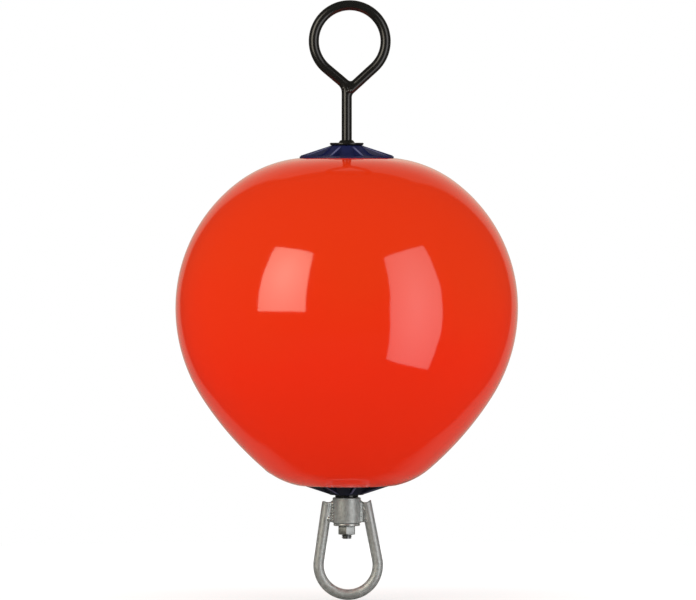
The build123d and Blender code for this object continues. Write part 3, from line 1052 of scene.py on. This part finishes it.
def make_saddle_cutters():
    """Make the two rounds that scoop out the top of the welds."""
    cutters = bmesh.new()
    flat_round = Matrix.Diagonal((saddle_stretch, 1, 1, 1)) @ Matrix.Rotation(math.pi / 2, 4, "X")
    for side in (-1, 1):
        bmesh.ops.create_cone(
            cutters,
            cap_ends=True,
            segments=48,
            radius1=saddle_radius,
            radius2=saddle_radius,
            depth=4 * bow_bar_radius,
            matrix=Matrix.Translation((side * saddle_reach, 0, bush_high.z)) @ flat_round,
        )
    return cutters


def make_bow_welds():
    """Melt ends, webs and beads on both sides of the bush, scooped at the top, and mark the pooled zinc."""
    bm = bmesh.new()
    add_bow_ends(bm)
    add_webs(bm)
    add_bow_beads(bm)
    melt(bm, voxel=0.4, rounds=12, cutters=make_saddle_cutters())
    pooled = bm.verts.layers.float.new("pooled")
    for vert in bm.verts:
        inward = on_leg(vert.co.z).x - abs(vert.co.x)
        vert[pooled] = min(1.0, max(0.0, inward / pool_fade))
    make_piece("zinc_welds", bm, hot_dip_zinc, "swivel", ["swivel_welds"])


make_bow_welds()

# %% [markdown]
# The nut is a hexagon whose corners are turned off to a cone at both ends, so each flat ends in a curve. Its
# sides are subdivided and extruded to a wall, and the wall's rims are set back by the cone. More extrusions
# close the ends to the bore.

# %% The nut
nut_flat = 9.5
nut_turn = 27.5
nut_cuts = 11
nut_bore = 5.4
nut_face = 9.0
nut_cone = math.tan(math.radians(30))
nut_edge_rounding = 0.25
nut_hard_angle = math.radians(25)


def make_nut():
    """Build the nut's wall, cones, end faces and bore from one hexagon."""
    bm = bmesh.new()
    corner = nut_flat / math.cos(math.pi / 6)
    turn = Matrix.Rotation(math.radians(nut_turn - 90), 4, "Z")
    bmesh.ops.create_circle(bm, segments=6, radius=corner, matrix=turn)
    bmesh.ops.subdivide_edges(bm, edges=bm.edges[:], cuts=nut_cuts)
    lower_rim = bm.edges[:]
    ring = upper_rim = run_straight(bm, lower_rim, (0, 0, 0))
    for rim, height, cone in ((lower_rim, nut_low.z, nut_cone), (upper_rim, nut_high.z, -nut_cone)):
        for vert in ring_verts(rim):
            vert.co.z = height + cone * max(0.0, vert.co.xy.length - nut_flat)
    upper_end = [(nut_face, nut_high.z), (nut_bore, nut_high.z)]
    lower_end = [(nut_bore, nut_low.z), (nut_face, nut_low.z)]
    for radius, height in upper_end + lower_end:
        ring = run_straight(bm, ring, (0, 0, 0))
        for vert in ring_verts(ring):
            vert.co.xy *= radius / vert.co.xy.length
            vert.co.z = height
    bmesh.ops.bridge_loops(bm, edges=ring + lower_rim)
    bmesh.ops.recalc_face_normals(bm, faces=bm.faces)
    bmesh.ops.bevel(
        bm,
        geom=[edge for edge in bm.edges if edge.calc_face_angle(0) > nut_hard_angle],
        offset=nut_edge_rounding,
        affect="EDGES",
        segments=2,
        profile=0.5,
        material=-1,
        clamp_overlap=True,
    )
    make_piece("plated_nut", bm, bright_zinc_plate, "buoy", ["hex_nut"])


make_nut()

# %% [markdown]
# The buoy stands in a plain studio: a pale round floor just under the bow, two soft boxes in front, and a
# white sweep behind. The floor shows white to the camera but keeps the shadow, so for the camera it adds a
# little light of its own to a darker matt surface. Mirrors look past it to the sweep, and from below it is
# clear.

# %% The floor
floor_radius = 1.2
floor_gap = 0.5 * MM
floor_glow = (0.6, 0.84)
floor_fade = (0.3, 0.8)


def make_floor():
    """Lay a round floor under the bow: matt white for the light, and a glow with a shadow for the camera."""
    finish, tree, place = new_finish("studio_floor")
    path = add_node(tree, "ShaderNodeLightPath")
    matt = add_node(tree, "ShaderNodeBsdfDiffuse", {"Color": linear("#F0F0EE")})
    shaded = add_node(tree, "ShaderNodeBsdfDiffuse", {"Color": linear("#9C9C9B")})
    away = add_node(tree, "ShaderNodeVectorMath", (place,), operation="LENGTH")
    fade = add_node(tree, "ShaderNodeMapRange", (away, *floor_fade, *floor_glow))
    glow = add_node(tree, "ShaderNodeEmission", {"Strength": fade})
    shown = add_node(tree, "ShaderNodeAddShader", (glow, shaded))
    both = add_node(tree, "ShaderNodeMixShader", (path.outputs["Is Camera Ray"], matt, shown))
    clear = add_node(tree, "ShaderNodeBsdfTransparent")
    underside = add_node(tree, "ShaderNodeNewGeometry").outputs["Backfacing"]
    sided = add_node(tree, "ShaderNodeMixShader", (underside, both, clear))
    add_node(tree, "ShaderNodeOutputMaterial", {"Surface": sided})
    bm = bmesh.new()
    bmesh.ops.create_circle(bm, cap_ends=True, segments=96, radius=floor_radius)
    bmesh.ops.translate(bm, verts=bm.verts, vec=(0, 0, cad_low.z - floor_gap))
    floor = put_object("floor", bm)
    bm.free()
    floor.data.materials.append(finish)
    floor.visible_glossy = False


make_floor()
print("floor at", round(cad_low.z - floor_gap, 4), "m")

# %% [markdown]
# The world is the sweep and the dim room. The camera sees white all round. A mirror sees the white sweep
# where it hangs, behind the buoy, and the dim room elsewhere, which is what keeps glossy colours deep and
# gives them a pale rim. The sweep is brightest behind the buoy and widens where it comes forward below, so
# the rim is widest on the float's lower sides. Straight below, the buoy shades it. Places on the sweep are
# measured as on a wall one unit behind the buoy.

# %% The sweep that mirrors see
room_level = 0.05
sweep_level = (0.22, 0.84)
sweep_falloff = 3.0
sweep_middle = (0.055, 1.0, 0.25)
sweep_reach = 1.3
sweep_half_width = 0.54
sweep_spread = 0.43
sweep_top = 1.3
sweep_foot = (-2.2, -1.0)
sweep_softness = 0.08
sweep_shade = (math.radians(8.5), math.radians(18))
shade_level = 0.35
least_depth = 0.001


def make_sweep(tree, way, depth):
    """Return the level that a mirror sees each way: the sweep as a wall behind, the room elsewhere."""
    behind = add_node(tree, "ShaderNodeMath", (depth, least_depth), operation="MAXIMUM")
    wall = add_node(tree, "ShaderNodeVectorMath", (way, behind), operation="DIVIDE")
    spot = add_node(tree, "ShaderNodeSeparateXYZ", {"Vector": wall})
    side, rise = spot.outputs["X"], spot.outputs["Z"]
    across = add_node(tree, "ShaderNodeMath", (side, sweep_middle[0]), operation="SUBTRACT")
    width = add_node(tree, "ShaderNodeMath", (across,), operation="ABSOLUTE")
    spread = add_node(tree, "ShaderNodeMapRange", (rise, -sweep_reach, 0.0, sweep_spread, 0.0))
    margin = add_node(tree, "ShaderNodeMath", (width, spread), operation="SUBTRACT")
    side_edge = (sweep_half_width, sweep_half_width + sweep_softness)
    inside = add_node(tree, "ShaderNodeMapRange", (margin, *side_edge, 1.0, 0.0))
    below = add_node(tree, "ShaderNodeMapRange", (rise, sweep_top, sweep_top + sweep_softness, 1.0, 0.0))
    above = add_node(tree, "ShaderNodeMapRange", (rise, *sweep_foot, 0.0, 1.0))
    drop = add_node(tree, "ShaderNodeMath", (rise, -1.0), operation="MULTIPLY")
    aside = add_node(tree, "ShaderNodeMath", (width, drop), operation="ARCTAN2")
    share = add_node(tree, "ShaderNodeMapRange", (aside, *sweep_shade, shade_level, 1.0))
    for limit in (inside, below, above):
        share = add_node(tree, "ShaderNodeMath", (share, limit), operation="MULTIPLY")
    away = add_node(tree, "ShaderNodeVectorMath", (wall, sweep_middle), operation="DISTANCE")
    near = add_node(tree, "ShaderNodeMapRange", (away, 0.0, sweep_reach, 1.0, 0.0))
    bright = add_node(tree, "ShaderNodeMath", (near, sweep_falloff), operation="POWER")
    level = add_node(tree, "ShaderNodeMapRange", (bright, 0.0, 1.0, *sweep_level))
    return add_node(tree, "ShaderNodeMix", {"Factor": share, "A": room_level, "B": level})


print("sweep: level", sweep_level[0], "to", sweep_level[1], "in a room of", room_level)

# %% [markdown]
# Matt surfaces get an even fill from the sides and the back, and less from the front, where the soft boxes
# are. The world's shader tells the kinds of rays apart: white for the camera, the sweep for mirrors, the fill
# for the rest.

# %% The world
front_fill = 0.22
tent_fill = 1.16
fill_turn = (-0.9, -0.2)


def make_world():
    """Light the studio: white for the camera, a white sweep behind for mirrors, a fill for the rest."""
    world = bpy.data.worlds.new("studio")
    bpy.context.scene.world = world
    world.use_nodes = True
    tree = world.node_tree
    tree.nodes.clear()
    way = add_node(tree, "ShaderNodeTexCoord").outputs["Generated"]
    depth = add_node(tree, "ShaderNodeSeparateXYZ", {"Vector": way}).outputs["Y"]
    sweep = make_sweep(tree, way, depth)
    fill = add_node(tree, "ShaderNodeMapRange", (depth, *fill_turn, front_fill, tent_fill))
    path = add_node(tree, "ShaderNodeLightPath")
    mirror_rays = (path.outputs["Is Glossy Ray"], path.outputs["Is Transmission Ray"])
    mirrored = add_node(tree, "ShaderNodeMath", mirror_rays, operation="MAXIMUM")
    level = add_node(tree, "ShaderNodeMix", {"Factor": mirrored, "A": fill, "B": sweep})
    white = {"Factor": path.outputs["Is Camera Ray"], "A": level, "B": 1.0}
    shown = add_node(tree, "ShaderNodeMix", white)
    tints = {"Factor": mirrored, "A": linear("#FFFFFF"), "B": linear("#FFF6E2")}
    tint = add_node(tree, "ShaderNodeMix", tints, data_type="RGBA")
    light = add_node(tree, "ShaderNodeBackground", {"Color": tint, "Strength": shown})
    add_node(tree, "ShaderNodeOutputWorld", {"Surface": light})


make_world()
print("world: fill from", front_fill, "in front to", tent_fill)

# %% [markdown]
# Two soft boxes stand in front, a square one to the left and a tall one to the right. Their bearings and
# sizes are read off their reflections on the float: a mirror's normal lies halfway to what it shows. Their
# cloth is a little brighter in the middle than at its corners. The camera doesn't see the lamps, only their
# light and their reflections.

# %% The soft boxes
softbox_distance = 1.6
cloth_middle = (0.5, 0.5, 0.0)
cloth_corner = 0.7
cloth_level = (1.25, 0.75)


def add_softbox(name, bearing, rise, swing_out, size, radiance, tint):
    """Hang a soft box at a bearing to the right of the camera, facing the float apart from a small swing."""
    data = bpy.data.lights.new(name, "AREA")
    data.shape = "RECTANGLE"
    data.size, data.size_y = size
    data.energy = radiance * math.pi * size[0] * size[1]
    data.color = linear(tint)[:3]
    data.use_nodes = True
    tree = data.node_tree
    tree.nodes.clear()
    spot = add_node(tree, "ShaderNodeNewGeometry").outputs["Parametric"]
    offset = add_node(tree, "ShaderNodeVectorMath", (spot, cloth_middle), operation="DISTANCE")
    falloff = add_node(tree, "ShaderNodeMapRange", (offset, 0.0, cloth_corner, *cloth_level))
    cloth = add_node(tree, "ShaderNodeEmission", {"Strength": falloff})
    add_node(tree, "ShaderNodeOutputLight", {"Surface": cloth})
    lamp = bpy.data.objects.new(name, data)
    bpy.context.scene.collection.objects.link(lamp)
    away = Vector((math.sin(math.radians(bearing)), -math.cos(math.radians(bearing)), 0))
    lamp.location = (away + Vector((0, 0, math.tan(math.radians(rise))))) * softbox_distance
    facing = Matrix.Rotation(math.radians(swing_out), 3, "Z") @ -away
    lamp.rotation_euler = facing.to_track_quat("-Z", "Y").to_euler()
    lamp.visible_camera = False
    print(name, "energy", round(data.energy, 1), "W")


add_softbox("left_softbox", -42.0, 22.0, 0.0, (0.92, 1.36), 3.34, "#FFF6E2")
add_softbox("right_softbox", 44.5, 3.0, 12.0, (1.04, 2.36), 1.74, "#FFFDFB")

# %% [markdown]
# The picture was taken with a long lens from about eight metres, a little above the float's middle: the hub's
# edge lies flat, and the ring and the bow show no perspective. The camera looks at the point in the middle
# of the picture.

# %% The camera
picture_width = 696
millimetres_per_pixel = 1.168
camera_distance = 8.2
camera_height = 0.184
picture_middle = Vector((0.0015, 0, 0.009))


def make_camera():
    """Set up the long lens in front of the buoy."""
    data = bpy.data.cameras.new("camera")
    camera = bpy.data.objects.new("camera", data)
    bpy.context.scene.collection.objects.link(camera)
    camera.location = (picture_middle.x, -camera_distance, camera_height)
    way = picture_middle - camera.location
    camera.rotation_euler = way.to_track_quat("-Z", "Y").to_euler()
    data.lens = data.sensor_width * way.length / (picture_width * millimetres_per_pixel * MM)
    data.clip_end = 100
    bpy.context.scene.camera = camera
    print("lens", round(data.lens, 1), "mm")


make_camera()
bpy.context.scene.view_settings.view_transform = "Standard"
